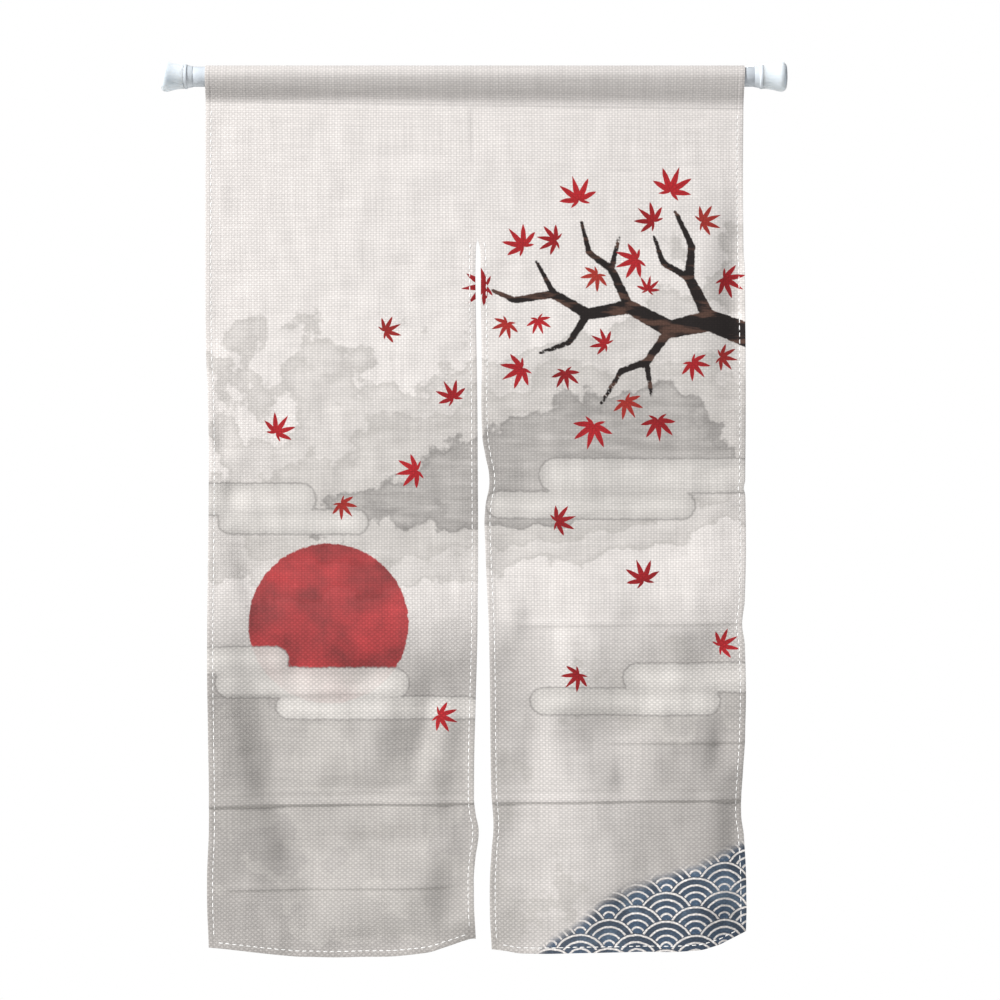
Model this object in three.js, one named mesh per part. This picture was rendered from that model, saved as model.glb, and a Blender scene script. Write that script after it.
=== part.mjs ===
// A noren: a doorway curtain of two hemmed linen panels, sewn edge to edge at the top and parted by a slit
// below, hung by its rod pocket on a plain white tension rod with a flared foot at each end.
// Millimetres, +Z up. The curtain faces -Y. The origin is the centre of the left foot's outer face, on the
// rod's axis, and +X runs along the rod to the right foot.

import * as THREE from "three";

const { clamp, lerp, smoothstep } = THREE.MathUtils;

// Rod.
const rodLength = 1000; // over both feet
const tubeRadius = 16;
const tubeWall = 1.4;
const fitGap = 0.3; // between pieces that touch
const roundSides = 32;

// End fittings: a flared foot with a plug in the tube, and a sleeve round the tube's end.
const footLength = 38;
const footFaceRadius = 15; // the flat part of the face that presses on the jamb
const footRimRadius = 24;
const footNeckRadius = 19;
const plugLength = 22;
const sleeveLength = 13.5;
const sleeveRingLength = 4.6;
const sleeveRingRadius = 20;
const sleeveCollarRadius = 18;

// Cloth. "across" is measured from the cloth's left edge, "down" from its top.
const clothLeft = 72; // from the left foot's face
const clothWidth = 861;
const clothLength = 1424; // from the top of the pocket to the lowest point of the hem
const clothThickness = 1.5;
const rodClearance = 0.6; // between the rod's top and the pocket
const seamGap = 0.3; // between the two panels where they are sewn together, and between the pocket's layers

// Rod pocket: the top edge is turned to the back and sewn down, a little lower on the right than on the left.
const pocketDepthLeft = 58;
const pocketDepthRight = 70;
const flapBelowSeam = 8; // the turned edge ends this far below the stitching
const pocketWrapAngle = THREE.MathUtils.degToRad(12); // how far below the rod's middle the cloth leaves it
const pocketUpperPull = 0.45; // the curve's handles, as shares of the drop from the rod to the seam
const pocketLowerPull = 0.27;
const pocketSteps = 24;

const slitTop = 279; // where the centre seam ends and the slit begins

// Slow waves in each panel, which grow from the slit's top to the hem.
const waveDepth = 3;
const hangSteps = 38;
const panelColumns = 20;

// The hem's rise towards the corners is taken up in the last stretch of cloth.
const hemRiseReach = 110;

// A crease has a row of points on its line and one on each side, and no even row within its reach.
const creaseSideRow = 1.6; // in half widths
const creaseReachAbove = 2; // in half widths
const creaseReachBelow = 5;

const loopRadius = tubeRadius + rodClearance + clothThickness / 2;
const clothTop = loopRadius + clothThickness / 2;
const layerOffset = (clothThickness + seamGap) / 2;

// The seam that joins the panels, and each panel's free edges: [down, across].
const centreSeam = [
  [0, 425],
  [63, 426.2],
  [159, 429],
  [slitTop, 434],
];

const leftPanel = {
  name: "left_panel",
  outerEdge: [
    [0, 0],
    [439, 0],
    [518, 3.2],
    [694, 4.8],
    [918, 2.4],
    [1077, 4],
    [1221, 5.3],
    [1301, 2.4],
    [1424, 4.8],
  ],
  seamShift: 0,
  slitEdge: [
    [slitTop, 434],
    [292, 431.6],
    [378, 431.4],
    [474, 433],
    [620, 434.4],
    [870, 434.4],
    [1013, 431.3],
    [1157, 428.5],
    [1197, 431.2],
    [1224, 436],
    [1266, 430.7],
    [1320, 428.2],
    [1424, 431.2],
  ],
  // [across, down]
  hem: [
    [4, 1409],
    [39, 1412],
    [127, 1422],
    [167, 1424],
    [247, 1424],
    [339, 1419],
    [384, 1408],
    [419, 1397],
    [432, 1396],
  ],
  wave: { length: 330, start: 65 },
  // Soft troughs, each along a line, with a steep side and a slack one. Depth is to the back.
  // [across, down, to across, to down, half width on its left, half width on its right, depth]
  folds: [
    [60, 830, 150, 1380, 110, 45, 18],
    [110, 1150, 195, 1410, 70, 34, 10],
    [50, 720, 100, 930, 60, 26, 9],
    [305, 955, 190, 1030, 60, 30, 8],
    [320, 930, 315, 1190, 50, 32, 10],
    [375, 1170, 140, 1170, 60, 34, 14],
    [375, 945, 325, 1190, 35, 25, 10],
    [428, 950, 385, 1270, 50, 28, 11],
    [405, 1243, 170, 1240, 50, 28, 14],
    [398, 1225, 388, 1425, 40, 34, 9],
    [420, 1404, 140, 1398, 34, 26, 9],
  ],
  // Level ridges from folded storage: [down, half width above, half width below, depth]
  creases: [
    [1180, 12, 3, -3.2],
    [1314, 10, 3, -1.8],
  ],
  // Hem corners that turn to the back: [across, down, reach, depth]
  corners: [
    [0, 1424, 90, 6],
    [435, 1424, 110, 9],
  ],
};

const rightPanel = {
  name: "right_panel",
  outerEdge: [
    [0, 860.9],
    [63, 858.7],
    [295, 859.2],
    [327, 861.3],
    [662, 861.6],
    [675, 859.3],
    [688, 861.9],
    [854, 860.9],
    [892, 856.8],
    [926, 861.3],
    [1061, 861.6],
    [1133, 857.7],
    [1196, 855.5],
    [1229, 859.7],
    [1333, 863.8],
    [1424, 863.8],
  ],
  seamShift: seamGap,
  slitEdge: [
    [slitTop, 434 + seamGap],
    [292, 437.8],
    [378, 439.4],
    [474, 440.8],
    [582, 441.2],
    [622, 446.4],
    [665, 453.1],
    [702, 447],
    [758, 446.2],
    [918, 452.7],
    [1157, 455.9],
    [1213, 459.6],
    [1253, 456.6],
    [1333, 453.7],
    [1424, 456.7],
  ],
  hem: [
    [456, 1412],
    [480, 1415],
    [509, 1419],
    [598, 1418],
    [694, 1416],
    [774, 1414],
    [812, 1407],
    [834, 1398],
    [864, 1384],
  ],
  wave: { length: 200, start: 650 },
  folds: [
    [745, 1108, 545, 1040, 60, 60, 15],
    [668, 1095, 664, 1185, 26, 18, 4.5],
    [525, 1030, 522, 1160, 34, 20, 5],
    [822, 1025, 820, 1150, 26, 18, 6],
    [850, 1105, 850, 1325, 22, 26, 7],
    [850, 1290, 846, 1440, 24, 28, 6],
    [700, 1406, 465, 1400, 30, 34, 9],
    [770, 1346, 540, 1346, 22, 14, 4],
    [885, 900, 740, 965, 60, 42, 10],
    [850, 120, 845, 580, 18, 28, 9],
    [600, 925, 480, 890, 50, 34, 5],
  ],
  creases: [
    [1174, 12, 3, -3.2],
    [1081, 10, 3, -1.8],
  ],
  corners: [
    [455, 1424, 80, 5],
    [866, 1424, 120, 10],
  ],
};

const linen = new THREE.MeshStandardMaterial({ color: "#ede8e4", roughness: 0.9, metalness: 0 });
const enamel = new THREE.MeshStandardMaterial({ color: "#e3eaef", roughness: 0.35, metalness: 0 });
const whitePlastic = new THREE.MeshStandardMaterial({ color: "#eef2f6", roughness: 0.4, metalness: 0 });
const softPlastic = new THREE.MeshStandardMaterial({ color: "#e4e9ee", roughness: 0.5, metalness: 0 });

// The value at x on a smooth curve through the [x, value] rows of a table.
function curveAt(table, x) {
  const last = table.length - 1;
  if (x <= table[0][0]) return table[0][1];
  if (x >= table[last][0]) return table[last][1];
  const next = table.findIndex(([key]) => key > x);
  const slope = (row) => {
    const [x0, v0] = table[Math.max(row - 1, 0)];
    const [x1, v1] = table[Math.min(row + 1, last)];
    return (v1 - v0) / (x1 - x0);
  };
  const [x0, v0] = table[next - 1];
  const [x1, v1] = table[next];
  const span = x1 - x0;
  const t = (x - x0) / span;
  const fromStart = v0 + slope(next - 1) * span * t;
  const fromEnd = v1 - slope(next) * span * (1 - t);
  return lerp(fromStart, fromEnd, t * t * (3 - 2 * t));
}

function innerEdgeAt(panel, down) {
  return down > slitTop ? curveAt(panel.slitEdge, down) : curveAt(centreSeam, down) + panel.seamShift;
}

function pocketDepth(across) {
  return lerp(pocketDepthLeft, pocketDepthRight, across / clothWidth);
}

// A bell with its own half width on each side of its top. offset is positive on the near side.
function bell(offset, nearHalfWidth, farHalfWidth) {
  return Math.exp(-((offset / (offset > 0 ? nearHalfWidth : farHalfWidth)) ** 2));
}

// Depth of one fold at a point: a bell across the fold's line that fades to nothing at both of its ends.
function foldDepth([x0, d0, x1, d1, leftHalfWidth, rightHalfWidth, depth], across, down) {
  const length = Math.hypot(x1 - x0, d1 - d0);
  const alongX = (x1 - x0) / length;
  const alongDown = (d1 - d0) / length;
  const along = clamp(((across - x0) * alongX + (down - d0) * alongDown) / length, 0, 1);
  const toRight = (down - d0) * alongX - (across - x0) * alongDown;
  return depth * Math.sin(Math.PI * along) ** 2 * bell(toRight, rightHalfWidth, leftHalfWidth);
}

// How far the hanging cloth lies behind its flat plane.
function clothDepth(panel, across, down) {
  const grown = clamp((down - slitTop) / (clothLength - slitTop), 0, 1);
  let depth = waveDepth * grown * Math.sin((2 * Math.PI * (across - panel.wave.start)) / panel.wave.length);
  for (const fold of panel.folds) depth += foldDepth(fold, across, down);
  for (const [creaseDown, above, below, creaseDepth] of panel.creases) {
    depth += creaseDepth * bell(down - creaseDown, below, above);
  }
  for (const [cornerAcross, cornerDown, reach, turned] of panel.corners) {
    const away = Math.hypot(across - cornerAcross, down - cornerDown) / reach;
    depth += turned * Math.max(0, 1 - away) ** 2;
  }
  return depth;
}

// The pocket's section at one place along the rod, from the end of the turned flap behind the cloth, up the
// back, over the rod and down the front to the seam. x is the depth and y the height.
function pocketSection(seamHeight) {
  const wrap = pocketWrapAngle;
  const legStart = { y: loopRadius * Math.cos(wrap), z: -loopRadius * Math.sin(wrap) };
  const drop = legStart.z - seamHeight;
  const upper = drop * pocketUpperPull;
  const lower = drop * pocketLowerPull;
  const pull = { y: legStart.y - upper * Math.sin(wrap), z: legStart.z - upper * Math.cos(wrap) };
  const path = new THREE.Path();
  path.moveTo(layerOffset, seamHeight - flapBelowSeam);
  path.lineTo(layerOffset, seamHeight);
  path.bezierCurveTo(layerOffset, seamHeight + lower, pull.y, pull.z, legStart.y, legStart.z);
  path.absarc(0, 0, loopRadius, -wrap, Math.PI + wrap, false);
  path.bezierCurveTo(-pull.y, pull.z, -layerOffset, seamHeight + lower, -layerOffset, seamHeight);
  return path.getSpacedPoints(pocketSteps);
}

// How far down each hanging row lies: even steps, with rows of its own for each crease.
function hangingRows(panel) {
  const rows = [];
  const nearCrease = (down) =>
    panel.creases.some(
      ([at, above, below]) => down > at - creaseReachAbove * above && down < at + creaseReachBelow * below,
    );
  for (let step = 1; step <= hangSteps; step++) {
    const down = lerp(pocketDepthRight, clothLength, step / hangSteps);
    if (step === hangSteps || !nearCrease(down)) rows.push(down);
  }
  for (const [at, above, below] of panel.creases) {
    rows.push(at - creaseSideRow * above, at, at + creaseSideRow * below);
  }
  return rows.sort((a, b) => a - b);
}

// The middle surface of a panel as rows of points, from the pocket's flap to the hem, each from the panel's
// outer edge to its inner edge.
function panelSurface(panel) {
  const shares = Array.from({ length: panelColumns + 1 }, (_, column) => column / panelColumns);
  const acrossAt = (share, down) => lerp(curveAt(panel.outerEdge, down), innerEdgeAt(panel, down), share);

  const sections = shares.map((share) => pocketSection(clothTop - pocketDepth(acrossAt(share, 0))));
  const pocketRows = sections[0].map((_, step) =>
    sections.map((section, column) => {
      const { x: depth, y: height } = section[step];
      return new THREE.Vector3(acrossAt(shares[column], clothTop - height), depth, height);
    }),
  );

  const hangingPoints = hangingRows(panel).map((down) => {
    const seamTilt = 1 - smoothstep(down, pocketDepthRight, slitTop);
    const hemShare = smoothstep(down, clothLength - hemRiseReach, clothLength);
    return shares.map((share) => {
      const across = acrossAt(share, down);
      const belowSeam = (pocketDepthRight - pocketDepth(across)) * seamTilt;
      const hemRise = (clothLength - curveAt(panel.hem, across)) * hemShare;
      const depth = clothDepth(panel, across, down) - layerOffset;
      return new THREE.Vector3(across, depth, clothTop - down + belowSeam + hemRise);
    });
  });
  return [...pocketRows, ...hangingPoints];
}

// A closed solid of one thickness round a grid of points: a front face, a back face and the four edges.
function sheetSolid(rows, thickness) {
  const rowCount = rows.length;
  const columnCount = rows[0].length;
  const half = thickness / 2;
  const front = [];
  const back = [];
  for (let r = 0; r < rowCount; r++) {
    for (let c = 0; c < columnCount; c++) {
      const downward = rows[Math.min(r + 1, rowCount - 1)][c].clone().sub(rows[Math.max(r - 1, 0)][c]);
      const sideways = rows[r][Math.min(c + 1, columnCount - 1)].clone().sub(rows[r][Math.max(c - 1, 0)]);
      const normal = sideways.cross(downward).normalize().multiplyScalar(half);
      front.push(rows[r][c].clone().add(normal));
      back.push(rows[r][c].clone().sub(normal));
    }
  }
  const points = [...front, ...back];
  const triangles = [];
  const at = (r, c) => r * columnCount + c;
  const behind = front.length;
  const quad = (a, b, c, d) => triangles.push(a, b, c, a, c, d);
  for (let r = 0; r < rowCount - 1; r++) {
    for (let c = 0; c < columnCount - 1; c++) {
      quad(at(r, c), at(r, c + 1), at(r + 1, c + 1), at(r + 1, c));
      quad(behind + at(r, c), behind + at(r + 1, c), behind + at(r + 1, c + 1), behind + at(r, c + 1));
    }
  }
  const rim = [];
  for (let c = 0; c < columnCount - 1; c++) rim.push(at(0, c));
  for (let r = 0; r < rowCount - 1; r++) rim.push(at(r, columnCount - 1));
  for (let c = columnCount - 1; c > 0; c--) rim.push(at(rowCount - 1, c));
  for (let r = rowCount - 1; r > 0; r--) rim.push(at(r, 0));
  rim.forEach((here, i) => {
    const next = rim[(i + 1) % rim.length];
    quad(here, behind + here, behind + next, next);
  });
  const geometry = new THREE.BufferGeometry().setFromPoints(points);
  geometry.setIndex(triangles);
  return geometry;
}

// A sheet's rows run left to right, and the right panel's outer edge is its right one.
function makePanel(panel) {
  const rows = panelSurface(panel);
  if (panel === rightPanel) rows.forEach((row) => row.reverse());
  const mesh = new THREE.Mesh(sheetSolid(rows, clothThickness), linen);
  mesh.name = panel.name;
  mesh.position.x = clothLeft;
  return mesh;
}

// A turned piece whose profile rows are [distance along the rod from the foot's face, radius].
function turned(profile, material, name, side) {
  const points = profile.map(([along, radius]) => new THREE.Vector2(radius, along));
  const mesh = new THREE.Mesh(new THREE.LatheGeometry(points, roundSides), material);
  mesh.name = name;
  mesh.rotation.z = side === "left" ? -Math.PI / 2 : Math.PI / 2;
  mesh.position.x = side === "left" ? 0 : rodLength;
  return mesh;
}

const boreRadius = tubeRadius - tubeWall;
const plugRadius = boreRadius - fitGap;

// Soft moulded foot: a flat face with a rounded rim, a waist, and a plug that grips the inside of the tube.
const footProfile = [
  [0, 0],
  [0, footFaceRadius],
  [1, 19],
  [3.5, 22.4],
  [8.5, footRimRadius],
  [12, 23.6],
  [18, 22],
  [27, 20],
  [footLength, footNeckRadius],
  [footLength, plugRadius],
  [footLength + plugLength - 1, plugRadius],
  [footLength + plugLength, plugRadius - 1],
  [footLength + plugLength, 0],
];

// Hard collar round the tube's end, with a raised ring next to the foot.
const sleeveStart = footLength + fitGap;
const sleeveBore = tubeRadius + fitGap;
const sleeveProfile = [
  [sleeveStart, sleeveBore],
  [sleeveStart, sleeveRingRadius - 0.6],
  [sleeveStart + 0.6, sleeveRingRadius],
  [sleeveStart + sleeveRingLength - 0.6, sleeveRingRadius],
  [sleeveStart + sleeveRingLength, sleeveCollarRadius + 0.4],
  [sleeveStart + sleeveLength - 2, sleeveCollarRadius],
  [sleeveStart + sleeveLength, sleeveBore + 0.6],
  [sleeveStart + sleeveLength, sleeveBore],
  [sleeveStart, sleeveBore],
];

const tubeStart = footLength + fitGap;
const tubeProfile = [
  [tubeStart, boreRadius],
  [tubeStart, tubeRadius],
  [rodLength - tubeStart, tubeRadius],
  [rodLength - tubeStart, boreRadius],
  [tubeStart, boreRadius],
];

const noren = new THREE.Group();
noren.name = "noren";

const rod = new THREE.Group();
rod.name = "rod";
rod.add(turned(tubeProfile, enamel, "rod_tube", "left"));
for (const side of ["left", "right"]) {
  rod.add(turned(footProfile, softPlastic, `${side}_foot`, side));
  rod.add(turned(sleeveProfile, whitePlastic, `${side}_sleeve`, side));
}
noren.add(rod);
noren.add(makePanel(leftPanel));
noren.add(makePanel(rightPanel));

export default noren;
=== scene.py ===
# A noren: two linen panels sewn edge to edge at the top, hung by their rod pocket on a white tension rod.
# The cloth is worked out in millimetres, as "across" from its left edge and "down" from its top, and every
# mesh is made in metres.

import bmesh
import bpy
import numpy as np
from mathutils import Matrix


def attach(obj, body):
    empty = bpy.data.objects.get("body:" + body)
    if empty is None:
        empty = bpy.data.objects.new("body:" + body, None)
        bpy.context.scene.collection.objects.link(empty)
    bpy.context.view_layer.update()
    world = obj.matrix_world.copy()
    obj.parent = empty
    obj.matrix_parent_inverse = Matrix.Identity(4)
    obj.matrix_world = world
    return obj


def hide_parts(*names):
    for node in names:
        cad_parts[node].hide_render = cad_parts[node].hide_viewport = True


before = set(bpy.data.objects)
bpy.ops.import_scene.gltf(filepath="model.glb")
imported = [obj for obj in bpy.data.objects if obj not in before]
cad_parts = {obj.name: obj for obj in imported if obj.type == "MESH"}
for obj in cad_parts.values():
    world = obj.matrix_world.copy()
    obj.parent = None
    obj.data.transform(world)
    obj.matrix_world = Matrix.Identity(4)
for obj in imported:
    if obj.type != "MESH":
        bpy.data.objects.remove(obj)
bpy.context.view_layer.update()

# Camera
# Square on to the curtain, and from far enough away that the rod's ends show little of their sides. The
# picture's width and centre are metres on the cloth's own plane.

PICTURE_WIDTH = 1.597
PICTURE_CENTRE_ALONG = 0.542
PICTURE_CENTRE_HEIGHT = -0.676
CAMERA_DISTANCE = 5.0
SENSOR_WIDTH = 36.0

scene = bpy.context.scene
scene.view_settings.view_transform = "Standard"

camera_data = bpy.data.cameras.new("camera")
camera_data.sensor_width = SENSOR_WIDTH
camera_data.lens = SENSOR_WIDTH * CAMERA_DISTANCE / PICTURE_WIDTH
camera = bpy.data.objects.new("camera", camera_data)
camera.location = (PICTURE_CENTRE_ALONG, -CAMERA_DISTANCE, PICTURE_CENTRE_HEIGHT)
camera.rotation_euler = (np.pi / 2, 0, 0)
scene.collection.objects.link(camera)
scene.camera = camera

# Studio
# A white paper ground, a large soft box high on the left, a weak one low in front, one high behind, and even
# white light from all round. The floor is painted a pale grey, two metres below the rod. Places and sizes are
# in metres, and power is in watts.

SOFT_BOXES = {
    "key": {"at": (-7.5, -4.8, 5.7), "size": 2.5, "power": 2230},
    "fill": {"at": (1.8, -4.8, -1.8), "size": 2.6, "power": 26},
    "behind": {"at": (2.4, 5.0, 1.5), "size": 2.5, "power": 210},
}
AMBIENT = 0.14
FLOOR_HEIGHT = -2.05
FLOOR_REACH = 2.2


def add(tree, kind, inputs=(), output=0, **settings):
    """Adds a node. inputs maps a socket's name or number to its value, or to the output that feeds it."""
    node = tree.nodes.new("ShaderNode" + kind)
    for name, value in settings.items():
        setattr(node, name, value)
    for socket, value in dict(inputs).items():
        if isinstance(value, bpy.types.NodeSocket):
            tree.links.new(value, node.inputs[socket])
        else:
            node.inputs[socket].default_value = value
    return node.outputs[output] if node.outputs else node


def linear(code):
    """An sRGB hex colour as linear RGBA. Each value v becomes ((v + 0.055) / 1.055)^2.4, or v / 12.92 near
    black."""
    value = np.array([int(code[i : i + 2], 16) for i in (1, 3, 5)]) / 255
    rgb = np.where(value <= 0.04045, value / 12.92, ((value + 0.055) / 1.055) ** 2.4)
    return (*rgb.tolist(), 1.0)


def new_material(name):
    """An empty material with a Principled BSDF: its tree and that node."""
    material = bpy.data.materials.new(name)
    material.use_nodes = True
    return material, material.node_tree, material.node_tree.nodes["Principled BSDF"]


world = bpy.data.worlds.new("studio")
scene.world = world
world.use_nodes = True
sky = world.node_tree
sky.nodes.clear()
all_round = add(sky, "Background", {"Color": linear("#F8FAFF"), "Strength": AMBIENT})
paper_ground = add(sky, "Background", {"Color": linear("#FFFFFF"), "Strength": 1.0})
looked_at = add(sky, "LightPath")
ground_or_light = add(sky, "MixShader", {0: looked_at, 1: all_round, 2: paper_ground})
add(sky, "OutputWorld", {"Surface": ground_or_light})

# Each box is turned so that it looks at the picture's centre.
for name, soft_box in SOFT_BOXES.items():
    light = bpy.data.lights.new(name, "AREA")
    light.shape = "SQUARE"
    light.size = soft_box["size"]
    light.energy = soft_box["power"]
    lamp = bpy.data.objects.new(name, light)
    lamp.location = soft_box["at"]
    x, y, z = np.array([PICTURE_CENTRE_ALONG, 0, PICTURE_CENTRE_HEIGHT]) - soft_box["at"]
    lamp.rotation_euler = (np.arctan2(np.hypot(x, y), -z), 0, np.arctan2(-x, y))
    scene.collection.objects.link(lamp)

floor_mesh = bpy.data.meshes.new("floor")
corners = np.array([(-1, -1), (1, -1), (1, 1), (-1, 1)]) * FLOOR_REACH + (PICTURE_CENTRE_ALONG, 0)
floor_mesh.from_pydata([(x, y, FLOOR_HEIGHT) for x, y in corners.tolist()], [], [(0, 1, 2, 3)])
floor = bpy.data.objects.new("floor", floor_mesh)

# Matt floor paint, rolled on: it has no gloss and takes nothing but soft shade.
floor_paint, tree, shader = new_material("pale_floor_paint")
shader.inputs["Base Color"].default_value = linear("#E9E9E7")
shader.inputs["Roughness"].default_value = 0.8
floor_mesh.materials.append(floor_paint)
scene.collection.objects.link(floor)

# Cut and hang of the two panels
# Each panel is one length of linen with turned hems. Its top edge is turned to the back and sewn down as
# the rod pocket. It hangs in shallow folds, with the level creases of folded storage, and its free corners
# turn back.

CLOTH_LEFT = 72  # from the left foot's face
CLOTH_TOP = 18.1  # above the rod's axis
CLOTH_WIDTH = 861
CLOTH_LENGTH = 1424
PANEL_WIDTH = 431
SLIT_TOP = 279
SEAM_GAP = 0.3  # between the two solids
SEWN_EDGE_GAP = 0.05  # between the two cloths, whose sewn edges touch
POCKET_DEPTH_LEFT = 58
POCKET_DEPTH_RIGHT = 70
POCKET_LOOP_RADIUS = 17.35
POCKET_WRAP = np.radians(12)
POCKET_PULL_LOW = 0.27  # how long the pocket's legs keep upright at the seam, and keep their slant at the rod
POCKET_PULL_HIGH = 0.45
LEG_ROWS = 15
LOOP_ROWS = 27
FLAP_BELOW_SEAM = 8
FLAP_ROWS = (1, 0.96, 0.85, 0.6, 0.3)
LAYER_OFFSET = 0.9
WAVE_DEPTH = 3
CREASE_FADE = 60
HEM_RISE_REACH = 110
LOOSE = (90, 500)  # down: from where the rod stretches the cloth to where it hangs loose
CRUMPLES = [(95, 0.25, 0.35, 3), (38, 0.12, 0.2, 4)]  # size, height at the rod, extra where loose, seed
CRUMPLE_WAVES = 12

CENTRE_SEAM = [(0, 425), (63, 426.2), (159, 429), (SLIT_TOP, 434)]

# Edges are (down, across) and the hem is (across, down). A wave is (length, start across). A fold is (across,
# down, to across, to down, half width on its left, half width on its right, depth). A crease is (down, from
# across, to across, half width above, half width below, depth), and a corner is (across, down, reach, depth).
# Depth is towards the back. The last fold of each panel is the faint dip along the centre seam.
PANELS = {
    "left_panel": {
        "outer": [
            (0, 0), (439, 0), (518, 3.2), (694, 4.8), (918, 2.4), (1077, 4), (1221, 5.3), (1301, 2.4),
            (1424, 4.8),
        ],
        "seam_shift": SEAM_GAP - SEWN_EDGE_GAP,  # of the inner edge, from the centre seam
        "slit": [
            (SLIT_TOP, 434), (292, 431.6), (378, 431.4), (474, 433), (620, 434.4), (870, 434.4),
            (1013, 431.3), (1157, 428.5), (1197, 431.2), (1224, 436), (1266, 430.7), (1320, 428.2),
            (1424, 431.2),
        ],
        "hem": [
            (4, 1409), (39, 1412), (127, 1422), (167, 1424), (247, 1424), (339, 1419), (384, 1408),
            (419, 1397), (432, 1396),
        ],
        "wave": (330, 65),
        "folds": [
            (60, 830, 150, 1380, 110, 45, 18),
            (110, 1150, 195, 1410, 70, 34, 10),
            (50, 720, 100, 930, 60, 26, 9),
            (305, 955, 190, 1030, 60, 30, 8),
            (320, 930, 315, 1190, 50, 32, 10),
            (375, 1170, 140, 1170, 60, 34, 14),
            (375, 945, 325, 1190, 35, 25, 10),
            (428, 950, 385, 1270, 50, 28, 11),
            (405, 1243, 170, 1240, 50, 28, 14),
            (398, 1225, 388, 1425, 40, 34, 9),
            (420, 1404, 140, 1398, 34, 26, 9),
            (27, 560, 30, 640, 22, 14, 3),
            (40, 650, 42, 730, 22, 14, 3),
            (415, 151, 215, 149, 14, 9, 1),
            (425.5, 10, 429, 165, 26, 6, 0.9),
        ],
        "creases": [
            (1180, -50, 500, 12, 3, -3.2),
            (1161, -50, 500, 5, 5, -0.8),
            (1314, 10, 410, 10, 3, -1.8),
            (1004, -50, 310, 9, 3.4, -1),
        ],
        "corners": [(0, 1424, 90, 6), (435, 1424, 110, 9)],
    },
    "right_panel": {
        "outer": [
            (0, 860.9), (63, 858.7), (295, 859.2), (327, 861.3), (662, 861.6), (675, 859.3), (688, 861.9),
            (854, 860.9), (892, 856.8), (926, 861.3), (1061, 861.6), (1133, 857.7), (1196, 855.5),
            (1229, 859.7), (1333, 863.8), (1424, 863.8),
        ],
        "seam_shift": SEAM_GAP,
        "slit": [
            (SLIT_TOP, 434 + SEAM_GAP), (292, 437.8), (378, 439.4), (474, 440.8), (582, 441.2), (622, 446.4),
            (665, 453.1), (702, 447), (758, 446.2), (918, 452.7), (1157, 455.9), (1213, 459.6),
            (1253, 456.6), (1333, 453.7), (1424, 456.7),
        ],
        "hem": [
            (456, 1412), (480, 1415), (509, 1419), (598, 1418), (694, 1416), (774, 1414), (812, 1407),
            (834, 1398), (864, 1384),
        ],
        "wave": (200, 650),
        "folds": [
            (745, 1108, 545, 1040, 60, 60, 15),
            (668, 1095, 664, 1185, 26, 18, 4.5),
            (525, 1030, 522, 1160, 34, 20, 5),
            (822, 1025, 820, 1150, 26, 18, 6),
            (850, 1105, 850, 1325, 22, 26, 7),
            (850, 1290, 846, 1440, 24, 28, 6),
            (700, 1406, 465, 1400, 30, 34, 9),
            (770, 1346, 540, 1346, 22, 14, 4),
            (885, 900, 740, 965, 60, 42, 10),
            (850, 120, 845, 580, 18, 28, 9),
            (600, 925, 480, 890, 50, 34, 5),
            (425.5, 10, 429, 165, 26, 6, 0.9),
        ],
        "creases": [
            (1174, 400, 900, 12, 3, -3.2),
            (1155, 400, 900, 5, 5, -0.6),
            (1081, 620, 900, 10, 3, -1.8),
            (892, 480, 900, 9, 3.4, -1.2),
        ],
        "corners": [(455, 1424, 80, 5), (866, 1424, 120, 10)],
    },
}
CREASE_RISE = 0.012  # towards the right, for each millimetre across

# Columns and rows of points: fixed ones near the edges, for the hem and its stitches, then one every GRID,
# and more rows on a crease.
STITCH_INSET = 9.2
EDGE_OFFSETS = (0, 0.6, 2.2, 4.6, 7.0, 8.2, STITCH_INSET, 10.2, 11.4, 12.6, 15)
GRID = 5
ROW_STEP = 0.5  # in which rows are counted off
CREASE_ROWS = 1.1  # extra rows for each millimetre
CREASE_ROWS_REACH = 8
FAR = 1000  # a distance where no edge or stroke has any effect
SLIT_HEMS_FLAT_ABOVE = 4  # the slit's hems end from this far above its top to that far below
SLIT_HEMS_FULL_BELOW = 14


def smooth_curve(rows, x):
    """A curve through (key, value) rows. The tangent at a row has the slope between its neighbours, and from
    one row to the next their two tangents blend by 3t^2 - 2t^3."""
    keys, values = np.array(rows, float).T
    row = np.arange(len(keys))
    before = np.maximum(row - 1, 0)
    after = np.minimum(row + 1, len(keys) - 1)
    slopes = (values[after] - values[before]) / (keys[after] - keys[before])
    x = np.clip(x, keys[0], keys[-1])
    i = np.clip(np.searchsorted(keys, x, side="right") - 1, 0, len(keys) - 2)
    span = keys[i + 1] - keys[i]
    t = (x - keys[i]) / span
    from_start = values[i] + slopes[i] * span * t
    from_end = values[i + 1] - slopes[i + 1] * span * (1 - t)
    return from_start + (from_end - from_start) * t * t * (3 - 2 * t)


def ease(x, start, end):
    """3t^2 - 2t^3, with t from 0 at start to 1 at end."""
    t = np.clip((x - start) / (end - start), 0, 1)
    return t * t * (3 - 2 * t)


def edges(panel, down):
    """A panel's outer and inner edge, in millimetres across: smooth curves through its tables, and above the
    slit through the centre seam's."""
    joined = smooth_curve(CENTRE_SEAM, down) + panel["seam_shift"]
    inner = np.where(down > SLIT_TOP, smooth_curve(panel["slit"], down), joined)
    return smooth_curve(panel["outer"], down), inner


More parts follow.
